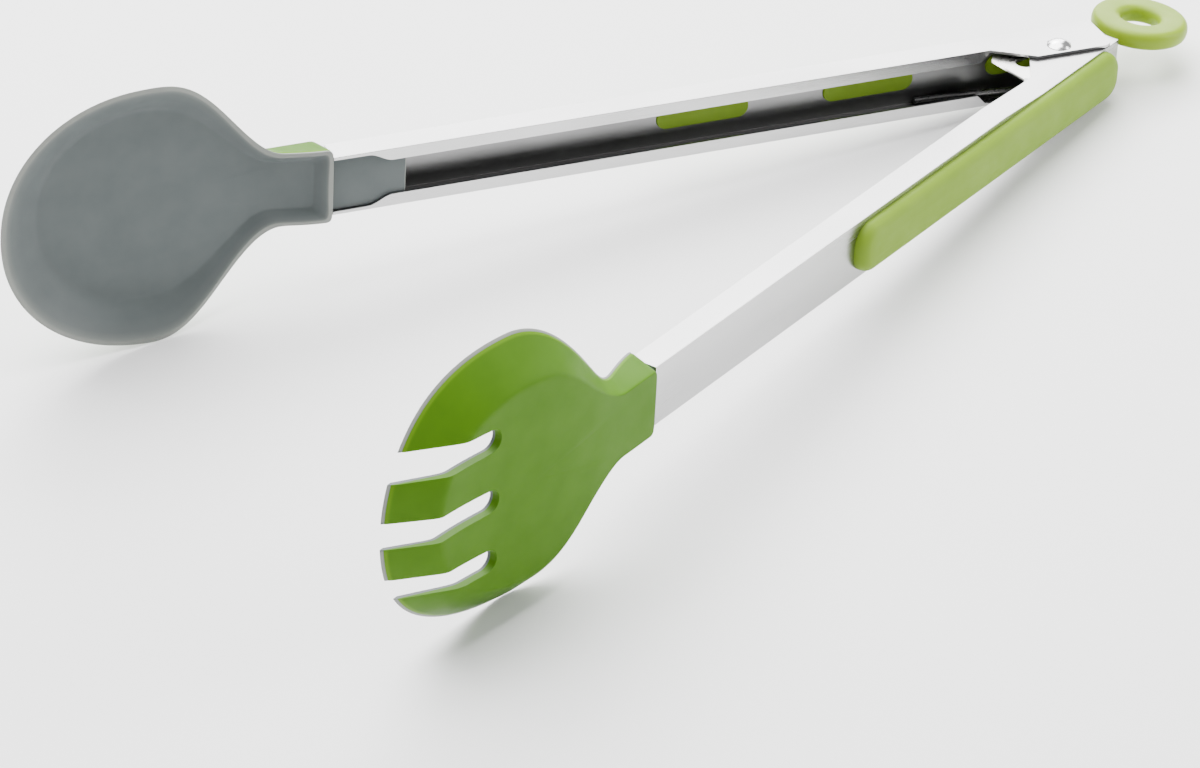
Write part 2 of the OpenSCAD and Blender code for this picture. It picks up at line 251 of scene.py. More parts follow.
@dataclass(frozen=True)
class BrushedSteel:
    """Stainless sheet brushed along its length: long fine streaks that spread a highlight sideways."""

    name: str
    bright: str = "#C0C0C0"
    dull: str = "#B2B2B2"
    rough: tuple[float, float] = (0.16, 0.28)
    grain_mm: tuple[float, float, float] = (45.0, 0.3, 0.3)
    relief_mm: float = 0.012
    cloud_mm: tuple[float, float, float] = (40.0, 14.0, 14.0)
    bump: float = 0.35

    def build(self) -> bpy.types.Material:
        """The node material, with streaks that lie in softer clouds.

        Returns:
            The material.
        """
        material, tree, shader = start_material(self.name)
        streaks = stretched_noise(tree, self.grain_mm, 3.0).outputs["Fac"]
        clouds = stretched_noise(tree, self.cloud_mm, 2.0).outputs["Fac"]
        tone = tinted(tree, ranged(tree, clouds, 0.15, 0.85), linear(self.bright), linear(self.dull))
        both = add(tree, "ShaderNodeMath", {0: streaks, 1: clouds}, operation="MULTIPLY")
        spread = ranged(tree, both.outputs[0], *self.rough, band=(0.12, 0.42))
        relief = {"Strength": self.bump, "Distance": self.relief_mm * MM, "Height": streaks}
        bump = add(tree, "ShaderNodeBump", relief)
        shader.inputs["Metallic"].default_value = 1.0
        tree.links.new(tone, shader.inputs["Base Color"])
        tree.links.new(spread, shader.inputs["Roughness"])
        tree.links.new(bump.outputs["Normal"], shader.inputs["Normal"])
        return material


@dataclass(frozen=True)
class Moulded:
    """Moulded rubber or plastic: an even satin skin with a fine spark-eroded grain and a painted highlight on
    its edges.
    """

    name: str
    colour: str
    shade: str
    # Colour of the painted highlight on the rims and edges
    edge: str
    rough: tuple[float, float] = (0.40, 0.52)
    grain_mm: float = 0.35
    relief_mm: float = 0.02
    ior: float = 1.43
    gloss: float = 0.2
    glow: float = 0.0
    cloud_mm: float = 9.0
    bump: float = 0.4
    glow_radius: tuple[float, float, float] = (0.6, 1.0, 0.25)
    glow_mm: float = 1.5

    def build(self) -> bpy.types.Material:
        """The node material, with a slow drift in tone and a painted highlight on its edges.

        Returns:
            The material.
        """
        material, tree, shader = start_material(self.name)
        clouds = stretched_noise(tree, (self.cloud_mm,) * 3, 3.0).outputs["Fac"]
        grain = stretched_noise(tree, (self.grain_mm,) * 3, 2.0).outputs["Fac"]
        body = tinted(tree, ranged(tree, clouds, 0.0, 1.0), linear(self.colour), linear(self.shade))
        # Painted highlight: the edge colour is mixed in by the painted edge highlight share
        edge = add(tree, "ShaderNodeAttribute", attribute_name=EDGE_HIGHLIGHT_LAYER)
        tone = tinted(tree, edge.outputs["Fac"], body, linear(self.edge))
        relief = {"Strength": self.bump, "Distance": self.relief_mm * MM, "Height": grain}
        bump = add(tree, "ShaderNodeBump", relief)
        tree.links.new(tone, shader.inputs["Base Color"])
        tree.links.new(ranged(tree, clouds, *self.rough), shader.inputs["Roughness"])
        tree.links.new(bump.outputs["Normal"], shader.inputs["Normal"])
        shader.inputs["IOR"].default_value = self.ior
        shader.inputs["Specular IOR Level"].default_value = self.gloss
        if self.glow:
            shader.inputs["Subsurface Weight"].default_value = self.glow
            shader.inputs["Subsurface Radius"].default_value = self.glow_radius
            shader.inputs["Subsurface Scale"].default_value = self.glow_mm * MM
        return material


# Pressed 0.8 mm sheet, brushed along the arm: bright, with long soft streaks
ARM_STEEL = BrushedSteel("stainless_sheet_brushed_lengthwise")
# Inside of the press fold, left unbrushed: a darker grey steel whose colour is painted shade
FOLD_SHADE_STEEL = BrushedSteel("stainless_sheet_painted_fold_shade", "#8C8C8C", "#787878", (0.28, 0.40), (30.0, 0.8, 0.8))
# Stamped plate, tumbled smooth: even satin without long streaks
PLATE_STEEL = BrushedSteel("stainless_plate_tumbled", "#DADAD6", "#CECECA", (0.26, 0.38), (2.5, 1.2, 1.2))
# Cold headed rivet, polished by the tool: near mirror with faint turning marks
RIVET_STEEL = BrushedSteel(
    "stainless_rivet_polished", "#EAEAEA", "#E2E2E2", (0.20, 0.27), (1.2, 1.2, 0.4), 0.004
)
# Drawn spring wire: darker, with die lines
SPRING_STEEL = BrushedSteel("spring_wire_drawn", "#8C8C8C", "#6C6C6C", (0.25, 0.36), (6.0, 0.4, 0.4))
# Grey silicone, matt tool: flat satin, with a painted highlight on its thin rims
GREY_SILICONE = Moulded("silicone_grey_moulded", "#5B6161", "#575D5D", "#868984")
# Leaf green silicone, slightly clear, with a painted highlight on its edges
GREEN_SILICONE = Moulded(
    "silicone_leaf_green_moulded", "#466E0E", "#42690C", "#86B524", gloss=0.1, glow=0.1
)
# Soft thermoplastic rubber on the grips: pale and matt; its edge colour is a painted highlight
GRIP_RUBBER = Moulded(
    "rubber_pale_green_moulded", "#6F8C22", "#6B881F", "#88A63A", (0.48, 0.6), 0.5, 0.03
)
# Polypropylene ring: lighter in colour and a little glossier than the grips; its edge colour is a painted
# highlight
RING_PLASTIC = Moulded(
    "polypropylene_pale_green_moulded", "#7C9618", "#779115", "#98B433", (0.34, 0.44), 0.6, 0.012, 1.49
)


# White lacquered table top: matt and even, so that only soft shadows show
TABLE_LACQUER = Moulded(
    "table_white_lacquer", "#F6F6F6", "#F4F4F4", "#F6F6F6", (0.7, 0.8), 1.0, 0.01
)


# ---------------------------------------------------------------- meshes


def sharp_edges(bm: bmesh.types.BMesh, degrees: float) -> list[bmesh.types.BMEdge]:
    """Edges whose two faces meet at more than an angle.

    Args:
        bm: The mesh.
        degrees: The angle.

    Returns:
        The edges.
    """
    limit = math.radians(degrees)
    return [e for e in bm.edges if len(e.link_faces) == 2 and e.calc_face_angle(0.0) > limit]


def round_edges(
    bm: bmesh.types.BMesh, edges: Sequence[bmesh.types.BMEdge], width: float, segments: int
) -> None:
    """Rounds edges in place.

    Args:
        bm: The mesh.
        edges: The edges to round.
        width: How far the round reaches on each side, in millimetres.
        segments: Flats in the round.
    """
    if edges:
        bmesh.ops.bevel(
            bm,
            geom=list(edges),
            offset=width,
            offset_type="OFFSET",
            segments=segments,
            profile=0.5,
            affect="EDGES",
            material=-1,
            clamp_overlap=True,
        )


def cad_copy(node: str, local: Matrix) -> bmesh.types.BMesh:
    """A CAD node's shape in an arm's own millimetres, with its flat faces whole again.

    Args:
        node: The CAD node.
        local: Matrix from those millimetres to the row frame.

    Returns:
        The copy; the node's own mesh is left alone.
    """
    bm = bmesh.new()
    bm.from_mesh(frame["nodes"][node].data)
    bmesh.ops.remove_doubles(bm, verts=bm.verts, dist=1e-6)
    bmesh.ops.transform(bm, matrix=local.inverted(), verts=bm.verts)
    bmesh.ops.recalc_face_normals(bm, faces=bm.faces)
    bmesh.ops.dissolve_limit(bm, angle_limit=math.radians(0.5), verts=bm.verts, edges=bm.edges)
    return bm


def make_object(name: str, bm: bmesh.types.BMesh, local: Matrix, smooth_to: float = 40.0) -> bpy.types.Object:
    """Writes a bmesh to an object at the origin, with its place in its mesh.

    Args:
        name: The piece's name.
        bm: The shape, in millimetres; it is freed.
        local: Matrix from those millimetres to the row frame.
        smooth_to: Faces that meet at less than this many degrees are shaded as one.

    Returns:
        The object.
    """
    place = bm.verts.layers.float_vector.get(PLACE) or bm.verts.layers.float_vector.new(PLACE)
    for vert in bm.verts:
        vert[place] = vert.co
    bmesh.ops.transform(bm, matrix=local, verts=bm.verts)
    bmesh.ops.recalc_face_normals(bm, faces=bm.faces)
    mesh = bpy.data.meshes.new(name)
    bm.to_mesh(mesh)
    bm.free()
    mesh.shade_smooth()
    mesh.set_sharp_from_angle(angle=math.radians(smooth_to))
    obj = bpy.data.objects.new(name, mesh)
    bpy.context.scene.collection.objects.link(obj)
    return obj


def bake_modifiers(obj: bpy.types.Object) -> None:
    """Makes the modifiers' result the object's own mesh.

    Args:
        obj: The piece.
    """
    graph = bpy.context.evaluated_depsgraph_get()
    mesh = bpy.data.meshes.new_from_object(obj.evaluated_get(graph))
    obj.modifiers.clear()
    old = obj.data
    obj.data = mesh
    bpy.data.meshes.remove(old)


def shade_flat_faces(obj: bpy.types.Object) -> None:
    """Lets large faces keep their own direction beside small rounds, so they shade evenly.

    Args:
        obj: The piece.
    """
    even = obj.modifiers.new("flat_faces", "WEIGHTED_NORMAL")
    even.keep_sharp, even.weight = True, 100
    bake_modifiers(obj)


def dress(obj: bpy.types.Object, *finishes: bpy.types.Material) -> None:
    """Gives the object its materials, in slot order."""
    for finish in finishes:
        obj.data.materials.append(finish)


def settle(obj: bpy.types.Object, body: str, slot: str, *nodes: str) -> None:
    """Puts a finished piece on its body in place of its CAD nodes.

    Args:
        obj: The piece.
        body: The body that it moves with.
        slot: Not used.
        *nodes: The CAD nodes that it stands for.
    """
    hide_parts(*nodes)
    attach(obj, body)
    log.info("%s: %d faces, on %s", obj.name, len(obj.data.polygons), body)


class Finishes:
    """The built materials, each made once."""

    def __init__(self) -> None:
        """Builds every finish."""
        self.arm = ARM_STEEL.build()
        self.fold_shade = FOLD_SHADE_STEEL.build()
        self.plate = PLATE_STEEL.build()
        self.rivet = RIVET_STEEL.build()
        self.spring = SPRING_STEEL.build()
        self.grey = GREY_SILICONE.build()
        self.green = GREEN_SILICONE.build()
        self.grip = GRIP_RUBBER.build()
        self.ring = RING_PLASTIC.build()


# ---------------------------------------------------------------- arms


@dataclass
class Channel:
    """A pressed steel channel: web, two flanges with ears, and turned-in lips."""

    side: Side
    lip_plane: float = 2.9
    web_face: float = 10.6
    sheet: float = 0.8
    half_h: float = 8.75
    nest: float = 0.95
    lip_start: float = 19.8
    bend_out: float = 1.0
    bend_in: float = 0.35
    cut_edge: float = 0.1
    near: float = 0.1
    shortest_fold: float = 3.0
    facing: float = 0.3
    inner_share: float = 0.6

    @property
    def node(self) -> str:
        """The CAD node."""
        return f"{self.side.name.lower()}_arm_channel"

    def on_plane(self, depth: float, inset: float) -> bool:
        """Whether a depth lies in the web's or the lips' face, or that far inside it."""
        from_web, from_lips = depth - self.web_face + inset, depth - self.lip_plane - inset
        return min(abs(from_web), abs(from_lips)) < self.near

    def bends(self, bm: bmesh.types.BMesh) -> tuple[list[bmesh.types.BMEdge], list[bmesh.types.BMEdge]]:
        """The long edges at the outside and the inside of each press fold.

        Args:
            bm: The channel in the arm's own millimetres.

        Returns:
            The outside edges and the inside edges.
        """
        outside, inside = [], []
        flange = self.half_h - self.nest - 1.05 * self.sheet
        for edge in sharp_edges(bm, 30):
            a, b = (v.co for v in edge.verts)
            length = (a - b).length
            along = abs(a.x - b.x) > 0.8 * length
            wide = min(abs(a.z), abs(b.z)) > flange
            if not (along and wide and length > self.shortest_fold):
                continue
            depth = (a.y + b.y) / 2
            if self.on_plane(depth, 0.0):
                outside.append(edge)
            elif self.on_plane(depth, self.sheet):
                inside.append(edge)
        return outside, inside

    def looks_inward(self, face: bmesh.types.BMFace) -> bool:
        """Whether a face looks into the fold, where the darker steel paints the shade inside the fold.

        Args:
            face: A face of the channel in the arm's own millimetres.

        Returns:
            True for the inner faces of the web, the flanges and the lips.
        """
        spot, looks = face.calc_center_median(), face.normal
        skin = self.inner_share * self.sheet
        in_web = spot.y < self.web_face - skin and looks.y < -self.facing
        inward = looks.z * math.copysign(1.0, spot.z) < -self.facing
        in_flange = inward and abs(spot.z) < self.half_h - skin
        above_lips = spot.y > self.lip_plane + self.sheet / 2
        in_lip = above_lips and looks.y > 0.5 and spot.y < self.web_face - self.sheet
        past_lips = spot.x > self.lip_start or in_web
        return (in_web and spot.y > self.lip_plane + 2) or (in_flange and past_lips) or in_lip

    def build(self, finishes: Finishes) -> bpy.types.Object:
        """Rounds the folds and the cut edges and paints shade inside the fold with a darker steel.

        Args:
            finishes: The built materials.

        Returns:
            The piece.
        """
        local = arm_frame(self.side)
        bm = cad_copy(self.node, local)
        outside, _ = self.bends(bm)
        round_edges(bm, outside, self.bend_out, 4)
        _, inside = self.bends(bm)
        round_edges(bm, inside, self.bend_in, 2)
        round_edges(bm, sharp_edges(bm, 50), self.cut_edge, 1)
        bm.normal_update()
        # Painted shade: faces that look into the fold get the darker steel
        for face in bm.faces:
            face.material_index = int(self.looks_inward(face))
        obj = make_object(f"{self.node}_sheet", bm, local, 35)
        dress(obj, finishes.arm, finishes.fold_shade)
        shade_flat_faces(obj)
        settle(obj, f"{self.side.name.lower()}_arm", "arm_steel", self.node)
        return obj


@dataclass
class Grip:
    """A soft pad on an arm's web, with plugs that fill the web's three windows."""

    side: Side
    start: float = -12.0
    length: float = 134.0
    height: float = 14.4
    proud: float = 4.0
    web_face: float = 10.6
    sheet: float = 0.8
    corner: float = 6.0
    edge: float = 3.2
    plug_length: float = 27.6
    plug_half: float = 3.2
    plug_centres: tuple[float, ...] = (104.4, 54.0, 3.6)
    plug_inside: float = 0.5
    plug_edge: float = 0.25
    crown: float = 0.35
    crown_inset: float = 2.0
    gap: float = 0.02

    def block(
        self, bm: bmesh.types.BMesh, low: Vector, high: Vector, corner: float
    ) -> list[bmesh.types.BMFace]:
        """A box with its four corners along V rounded.

        Args:
            bm: The mesh to add to.
            low: Lowest corner.
            high: Highest corner.
            corner: Radius of the corners.

        Returns:
            The box's faces.
        """
        size = high - low
        made = bmesh.ops.create_cube(bm, size=1.0)["verts"]
        bmesh.ops.scale(bm, vec=size, verts=made)
        bmesh.ops.translate(bm, vec=(low + high) / 2, verts=made)
        edges = {e for v in made for e in v.link_edges}
        upright = [e for e in edges if abs(e.verts[0].co.y - e.verts[1].co.y) > 0.9 * size.y]
        done = bmesh.ops.bevel(
            bm,
            geom=upright,
            offset=corner,
            offset_type="OFFSET",
            segments=10,
            profile=0.5,
            affect="EDGES",
            material=-1,
            clamp_overlap=False,
        )
        return list({f for v in list(done["verts"]) + made if v.is_valid for f in v.link_faces})

    def round_rim(
        self,
        bm: bmesh.types.BMesh,
        faces: Sequence[bmesh.types.BMFace],
        sign: float,
        width: float,
        segments: int,
    ) -> None:
        """Rounds the rim of the face that looks out or in along V.

        Args:
            bm: The mesh.
            faces: The block's faces.
            sign: 1 for the face that looks outward, -1 for inward.
            width: How far the round reaches.
            segments: Flats in the round.
        """
        bm.normal_update()
        top = max((f for f in faces if f.is_valid), key=lambda f: f.calc_area() * (f.normal.y * sign > 0.9))
        round_edges(bm, list(top.edges), width, segments)

    def pad(self, bm: bmesh.types.BMesh, base: float) -> None:
        """The pad, crowned so that its middle stands at its full height.

        Args:
            bm: The mesh to add to.
            base: Where the pad lies on the web.
        """
        half = self.height / 2
        low = Vector((self.start, base, -half))
        high = Vector((self.start + self.length, base + self.proud - self.crown, half))
        self.round_rim(bm, self.block(bm, low, high, self.corner), 1.0, self.edge, 8)
        cap = max(bm.faces, key=lambda f: f.calc_area() * (f.normal.y > 0.9))
        bmesh.ops.inset_region(bm, faces=[cap], thickness=self.crown_inset, use_even_offset=True)
        bmesh.ops.translate(bm, vec=(0, self.crown, 0), verts=list(cap.verts))

    def plug(self, bm: bmesh.types.BMesh, base: float, centre: float) -> None:
        """A plug that fills a window of the web.

        Args:
            bm: The mesh to add to.
            base: Where the pad lies on the web.
            centre: The middle of the window.
        """
        own = bmesh.new()
        half = self.plug_length / 2
        low = Vector((centre - half, self.web_face - self.sheet - self.plug_inside, -self.plug_half))
        high = Vector((centre + half, base + self.sheet, self.plug_half))
        self.round_rim(own, self.block(own, low, high, self.plug_half * 0.98), -1.0, self.plug_edge, 2)
        part = bpy.data.meshes.new("plug")
        own.to_mesh(part)
        own.free()
        bm.from_mesh(part)
        bpy.data.meshes.remove(part)

    def build(self, finishes: Finishes) -> bpy.types.Object:
        """The pad and its plugs as one moulding.

        Args:
            finishes: The built materials.

        Returns:
            The piece.
        """
        bm = bmesh.new()
        base = self.web_face + self.gap
        self.pad(bm, base)
        for centre in self.plug_centres:
            self.plug(bm, base, centre)
        bmesh.ops.recalc_face_normals(bm, faces=bm.faces)
        name = f"{self.side.name.lower()}_grip"
        obj = make_object(f"{name}_pad", bm, arm_frame(self.side), 50)
        dress(obj, finishes.grip)
        shade_flat_faces(obj)
        settle(obj, f"{self.side.name.lower()}_arm", "grip_rubber", name)
        return obj


# ---------------------------------------------------------------- heads


Ring = list[Vector]


@dataclass
class Head:
    """A dished head in two shots: a grey core with its tang, and a green skin on its back."""

    side: Side
    reach: float
    fold: float
    half_w: float = 38.4
    mid: float = 266.5
    core_t: float = 0.8
    skin_t: float = 2.0
    skin_rim_t: float = 0.9
    dish: float = 7.0
    arm_len: float = 215.0
    floor_v: float = 9.6
    lip_plane: float = 2.9
    rim_neck: float = 7.0
    rim_w: float = 1.3
    collar: float = 10.9
    trough: float = 7.0
    trough_v: float = 6.2
    fill: tuple[float, float] = (218.0, 238.0)
    tip_power: float = 2.1
    start: float = 215.12
    end_wall: float = 4.5
    slope: float = 37.0
    tang_len: float = 21.0
    tang_past: float = 1.0
    fullness: float = 2.2
    joint_square: float = 0.3
    back_square: float = 0.6
    neck: tuple[float, float] = (228.6, 266.0)
    floor_neck: tuple[float, float] = (231.0, 266.0)
    square: tuple[float, float] = (226.0, 244.0)
    bend_span: tuple[float, float] = (240.0, 300.0)
    neck_top: float = 240.0
    floor_inset: float = 10.7
    reach_cut: float = 12.5
    slot_root: float = 280.5
    slot_pitch: float = 17.3
    slot_r: float = 3.3
    slot_tip: float = 4.0
    slot_out: float = 330.0
    neck_steps: int = 22
    tip_steps: int = 30
    end_steps: int = 5
    foot: float = 0.2
    marks: tuple[float, ...] = (0.0, 0.08, 0.2, 0.5, 0.85, 0.975, 1.0)
    floor_marks: tuple[float, ...] = (0.25, 0.5, 0.66, 0.76, 0.84, 0.9, 0.96)
    rim_marks: tuple[float, ...] = (0.8, 0.35, -0.2)
    tang_gap: float = 0.9
    tang_high: float = 9.7
    tang_half_w: float = 7.85
    tang_edge: float = 0.35
    tang_highlight_band: float = 0.3
    slot_deep: float = 40.0
    slot_turn: int = 24
    cut_round: float = 0.28

    def half_at(self, u: float, wide: float, span: tuple[float, float], narrow: float) -> float:
        """Half width at a distance from the rivet.

        Args:
            u: The distance.
            wide: Half width past the neck.
            span: Where the neck starts and stops swelling.
            narrow: Half width at the collar.

        Returns:
            The half width.
        """
        t = max(0.0, min(1.0, (u - span[0]) / (span[1] - span[0])))
        return mix(narrow, wide, smooth(t) + self.fullness * t * t * (1 - t) * (1 - t))

    def fuller(self, share: float) -> float:
        """A tip a little fuller than an ellipse."""
        return math.copysign(abs(share) ** (2 / self.tip_power), share)

    def curve(
        self, start: float, wide: float, span: tuple[float, float], tip: float, narrow: float
    ) -> Ring:
        """A closed curve around the head, as (u, w) points.

        Args:
            start: Distance of the collar end from the rivet.
            wide: Half width at the widest line.
            span: Where the neck starts and stops swelling.
            tip: Reach of the tip past the widest line.
            narrow: Half width at the collar.

        Returns:
            The curve's points.
        """
        side = [
            Vector((u, self.half_at(u, wide, span, narrow)))
            for u in (mix(start, self.mid, i / self.neck_steps) for i in range(self.neck_steps + 1))
        ]
        nose = []
        for i in range(1, self.tip_steps):
            turn = math.radians(90 - 180 * i / self.tip_steps)
            past, beside = self.fuller(math.cos(turn)), self.fuller(math.sin(turn))
            nose.append(Vector((self.mid + tip * past, side[-1].y * beside)))
        back = [Vector((p.x, -p.y)) for p in reversed(side)]
        across = [Vector((start, mix(-narrow, narrow, i / self.end_steps))) for i in range(1, self.end_steps)]
        return side + nose + back + across

    def outline(self) -> Ring:
        """The head's outline."""
        return self.curve(self.start, self.half_w, self.neck, self.reach, self.collar)

    def floor_line(self) -> Ring:
        """The edge of the dish's flat floor."""
        wide = self.half_w - self.floor_inset
        start, tip = self.start + self.end_wall, self.reach - self.reach_cut
        return self.curve(start, wide, self.floor_neck, tip, self.trough)

    def rim_height(self, u: float) -> float:
        """Height of the rim, low at the collar and the bowl and high on the neck.

        Args:
            u: Distance from the rivet.

        Returns:
            The height, outward.
        """
        if u < self.neck_top:
            rise = smooth((u - self.start) / (self.neck_top - self.start))
            return mix(self.lip_plane, self.rim_neck, rise)
        low = self.floor_v - self.dish
        return mix(self.rim_neck, low, smooth((u - self.neck_top) / (self.mid - self.neck_top)))

    def bend(self, u: float) -> float:
        """How far the head has bent in towards the other one."""
        first, last = self.bend_span
        return self.fold * smooth((u - first) / (last - first))

    def bowl_share(self, u: float) -> float:
        """0 where the collar is square, 1 where the bowl's wall slopes."""
        first, last = self.square
        return smooth((u - first) / (last - first))

    def trough_fill(self, u: float) -> float:
        """How far the inner floor rises towards the collar, where the trough runs out."""
        first, last = self.fill
        return (self.floor_v - self.trough_v) * (1 - smooth((u - first) / (last - first)))

    def ring(
        self,
        inner: Ring,
        outer: Ring,
        share: float,
        floor: float,
        lift: float,
        filled: bool = False,
    ) -> Ring:
        """One ring of a dish surface, a share of the way from its floor to its outline.

        Args:
            inner: The edge of the floor.
            outer: The outline.
            share: 0 at the floor's edge, 1 at the outline.
            floor: Height of the floor.
            lift: How far the surface lies behind the rim.
            filled: Whether the floor rises where the trough runs out.

        Returns:
            The ring's points.
        """
        foot = self.foot
        steep = 1 / (foot * (2 - foot))
        rise = steep * share * share if share < foot else 1 - 2 * steep * foot * (1 - share)
        made = []
        for i, o in zip(inner, outer):
            p = i.lerp(o, share)
            low = floor - self.trough_fill(p.x) * filled
            made.append(Vector((p.x, mix(low, self.rim_height(o.x) + lift, rise) - self.bend(p.x), p.y)))
        return made

    def floor_rings(self, floor: float, line: Ring, filled: bool) -> list[Ring]:
        """Rings that fill the floor, from the middle outward.

        Args:
            floor: Height of the floor.
            line: The edge of the floor.
            filled: Whether the floor rises where the trough runs out.

        Returns:
            The rings.
        """
        centre = Vector((self.mid, 0.0))
        made = []
        for share in self.floor_marks:
            made.append([])
            for p in (centre.lerp(q, share) for q in line):
                height = floor - self.trough_fill(p.x) * filled - self.bend(p.x)
                made[-1].append(Vector((p.x, height, p.y)))
        return made

    def surface(self, depth: float) -> list[Ring]:
        """The dish surface at a depth in the wall, from its middle to its edge.

        Args:
            depth: 0 for the inner face, the core's thickness for the joint, both shots for the back.

        Returns:
            The rings.
        """
        floor, outline = self.floor_line(), self.outline()
        thin = min(depth, self.core_t + self.skin_rim_t)
        if depth == 0:
            edge = [o.lerp(f, min(0.5, self.rim_w / (o - f).length)) for f, o in zip(floor, outline)]
            inner = floor
        else:
            lean = math.sin(math.radians(self.slope))
            share = self.joint_square if depth <= self.core_t else self.back_square
            edge = [
                o + (f - o).normalized() * thin * lean * self.bowl_share(o.x) for f, o in zip(floor, outline)
            ]
            inner = [f.lerp(o, share * (1 - self.bowl_share(o.x))) for f, o in zip(floor, outline)]
        lift = thin * math.cos(math.radians(self.slope))
        level, filled = self.floor_v + depth, depth == 0
        rings = self.floor_rings(level, inner, filled)
        return rings + [self.ring(inner, edge, t, level, lift, filled) for t in self.marks]

    def rim(self) -> list[Ring]:
        """The flat of the rim, from just outside the inner face to just inside the outline.

        Returns:
            The rings.
        """
        floor, outline = self.floor_line(), self.outline()
        made = []
        for back in self.rim_marks:
            line = [o + (f - o).normalized() * self.rim_w * back for f, o in zip(floor, outline)]
            made.append(self.ring(floor, line, 1.0, self.floor_v, 0.0))
        return made

    @staticmethod
    def above(vert: bmesh.types.BMVert, fresh: set[bmesh.types.BMVert]) -> bmesh.types.BMVert:
        """The fresh point that was extruded from a point."""
        return next(e.other_vert(vert) for e in vert.link_edges if e.other_vert(vert) in fresh)

    def grow(self, bm: bmesh.types.BMesh, rings: Sequence[Ring], marked: Sequence[float]) -> None:
        """Walks a closed shell from one middle to the other through its rings.

        Args:
            bm: The mesh to add to.
            rings: The rings in order.
            marked: For each ring, how much painted highlight it shows.
        """
        painted_highlight = bm.verts.layers.float.get(EDGE_HIGHLIGHT_LAYER) or bm.verts.layers.float.new(EDGE_HIGHLIGHT_LAYER)
        verts = bmesh.ops.create_circle(bm, cap_ends=False, segments=len(rings[0]), radius=1.0)["verts"]
        edges = list({e for v in verts for e in v.link_edges})
        ends = []
        for number, ring in enumerate(rings):
            if number:
                made = bmesh.ops.extrude_edge_only(bm, edges=edges)["geom"]
                fresh = {g for g in made if isinstance(g, bmesh.types.BMVert)}
                edges = [g for g in made if isinstance(g, bmesh.types.BMEdge) and set(g.verts) <= fresh]
                verts = [self.above(v, fresh) for v in verts]
            for vert, point in zip(verts, ring):
                vert.co = point
                vert[painted_highlight] = marked[number]
            if number in (0, len(rings) - 1):
                ends.append(list(edges))
        for loop in ends:
            face = bmesh.ops.contextual_create(bm, geom=loop)["faces"]
            bmesh.ops.poke(bm, faces=face)
        bmesh.ops.recalc_face_normals(bm, faces=bm.faces)

    def tang(self, bm: bmesh.types.BMesh) -> None:
        """Adds the tang that fills the channel's end.

        Args:
            bm: The mesh to add to.
        """
        low = Vector((self.arm_len - self.tang_len, self.lip_plane + self.tang_gap, -self.tang_half_w))
        high = Vector((self.arm_len + self.tang_past, self.tang_high, self.tang_half_w))
        made = bmesh.ops.create_cube(bm, size=1.0)["verts"]
        bmesh.ops.scale(bm, vec=high - low, verts=made)
        bmesh.ops.translate(bm, vec=(low + high) / 2, verts=made)
        edges = {e for v in made for e in v.link_edges}
        round_edges(bm, list(edges), self.tang_edge, 3)
        # Painted highlight: a thin band at the tang's inner end is drawn in the edge colour
        painted_highlight = bm.verts.layers.float.new(EDGE_HIGHLIGHT_LAYER)
        for vert in bm.verts:
            vert[painted_highlight] = float(vert.co.x < low.x + self.tang_highlight_band)

    def slot_cutter(self) -> bpy.types.Object:
        """Prisms with a round root, widening a little to the tip.

        Returns:
            The three prisms as one object.
        """
        bm = bmesh.new()
        out, deep = self.slot_out, self.slot_deep
        for number in (-1, 0, 1):
            turns = (math.pi * (i / self.slot_turn - 0.5) for i in range(self.slot_turn + 1))
            path = [
                Vector((self.slot_root - self.slot_r * math.cos(a), 0, self.slot_r * math.sin(a)))
                for a in turns
            ]
            points = [Vector((out, 0, -self.slot_tip)), *path, Vector((out, 0, self.slot_tip))]
            verts = [bm.verts.new(p + Vector((0, -deep, number * self.slot_pitch))) for p in points]
            face = bm.faces.new(verts)
            made = bmesh.ops.extrude_face_region(bm, geom=[face])["geom"]
            moved = [g for g in made if isinstance(g, bmesh.types.BMVert)]
            bmesh.ops.translate(bm, vec=(0, 2 * deep, 0), verts=moved)
        return make_object("slot_cutter", bm, arm_frame(self.side))

    def cut_slots(self, obj: bpy.types.Object) -> None:
        """Cuts the slots between the tines out of a shot of the head.

        Args:
            obj: The shot.
        """
        cutter = self.slot_cutter()
        cut = obj.modifiers.new("slots", "BOOLEAN")
        cut.operation, cut.solver, cut.object = "DIFFERENCE", "EXACT", cutter
        bpy.context.view_layer.update()
        bake_modifiers(obj)
        bpy.data.objects.remove(cutter)

    def join_tang(self, obj: bpy.types.Object) -> None:
        """Adds the tang to the core's own mesh.

        Args:
            obj: The core.
        """
        extra = bmesh.new()
        self.tang(extra)
        piece = make_object("tang", extra, arm_frame(self.side))
        joined = bmesh.new()
        joined.from_mesh(obj.data)
        joined.from_mesh(piece.data)
        joined.to_mesh(obj.data)
        joined.free()
        bpy.data.objects.remove(piece)

    def shell(
        self, name: str, rings: Sequence[Ring], marked: Sequence[float], tang: bool
    ) -> bpy.types.Object:
        """One shot of the head, smoothed, slotted if it is the fork, and softly rounded at its cuts.

        Args:
            name: The piece's name.
            rings: Its surface, from one middle to the other.
            marked: For each ring, how much painted highlight it shows.
            tang: Whether the tang is part of it.

        Returns:
            The piece.
        """
        bm = bmesh.new()
        self.grow(bm, rings, marked)
        obj = make_object(name, bm, arm_frame(self.side), 180)
        levels = obj.modifiers.new("smooth", "SUBSURF")
        levels.levels = levels.render_levels = 2
        bake_modifiers(obj)
        if self.side is Side.FORK:
            self.cut_slots(obj)
        if tang:
            self.join_tang(obj)
        obj.data.shade_smooth()
        obj.data.set_sharp_from_angle(angle=math.radians(42))
        if self.side is Side.FORK:
            soft = obj.modifiers.new("soft_cuts", "BEVEL")
            soft.width, soft.segments, soft.limit_method = self.cut_round * MM, 2, "ANGLE"
            soft.angle_limit = math.radians(50)
            bake_modifiers(obj)
        return obj

